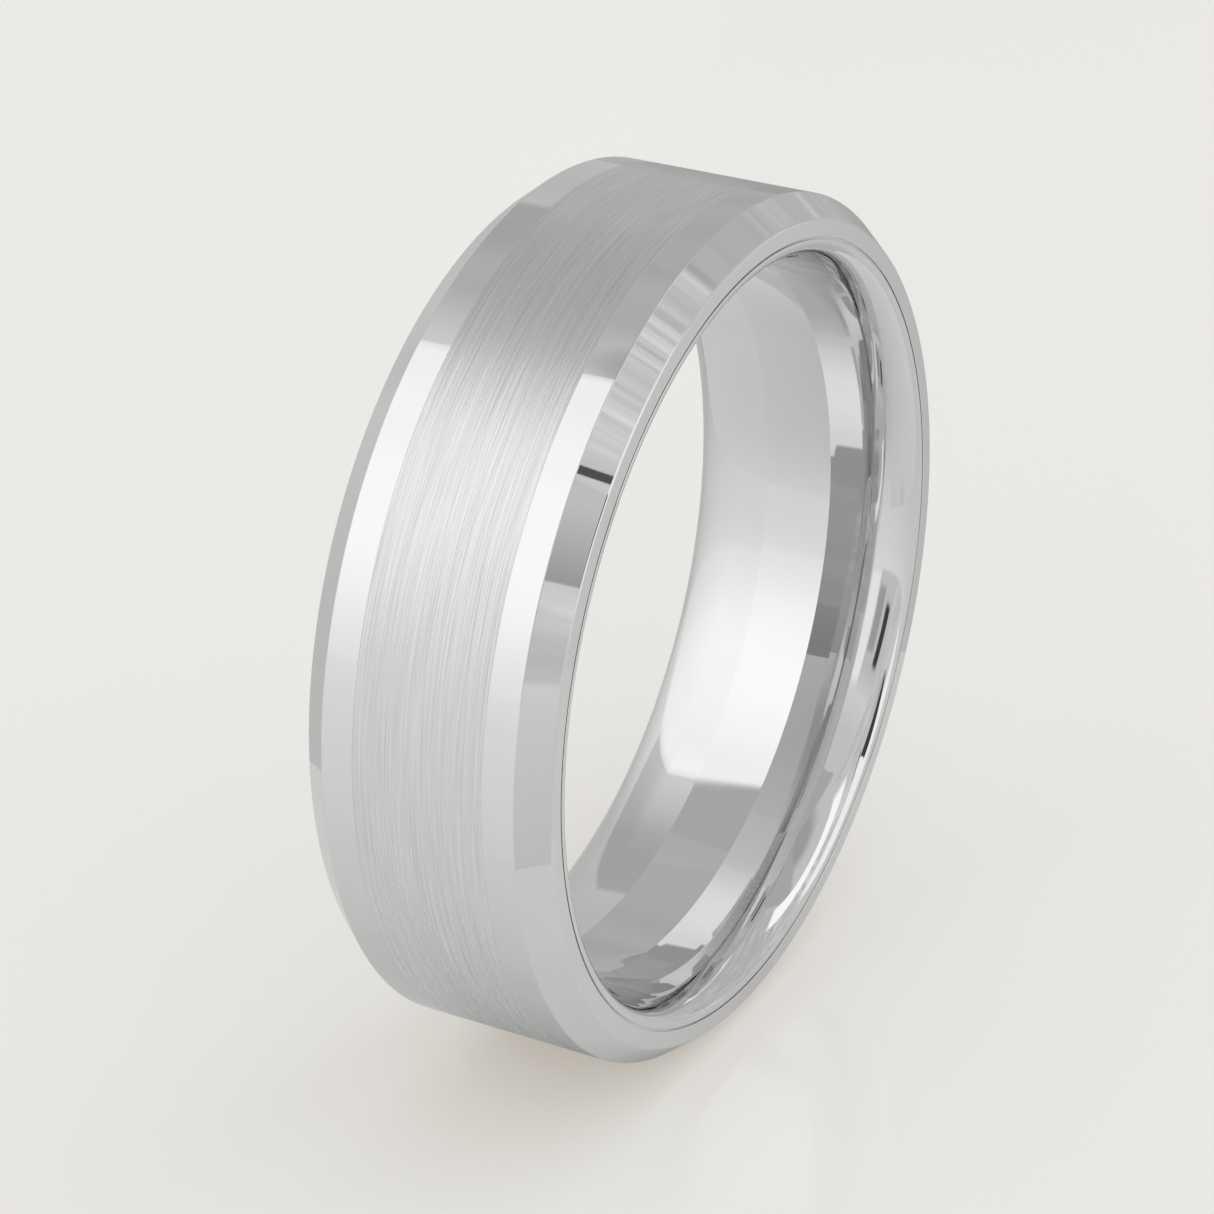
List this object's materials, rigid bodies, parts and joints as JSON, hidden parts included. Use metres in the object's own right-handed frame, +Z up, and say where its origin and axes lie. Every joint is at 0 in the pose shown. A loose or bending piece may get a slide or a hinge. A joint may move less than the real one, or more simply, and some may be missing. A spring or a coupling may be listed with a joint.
{
  "type": "wedding band",
  "caption": "Flat wedding band with a brushed centre, polished bevelled edges and a rounded comfort-fit bore, standing on its edge.",
  "frame": {"origin": "centre of the finger hole, halfway across the band", "axes": "+Y along the finger, +Z up with the band standing on its edge, -Y is the front side face"},
  "size_m": [0.0238, 0.007, 0.0238],
  "materials": {
    "polished_liner": "mirror polished white metal",
    "brushed_band": "fine brushing that runs around the band",
    "polished_rim": "mirror polished white metal"
  },
  "bodies": {
    "root": {"comfort_fit_liner": "polished_liner", "brushed_centre_band": "brushed_band", "front_polished_rim": "polished_rim", "rear_polished_rim": "polished_rim"}
  },
  "joints": []
}
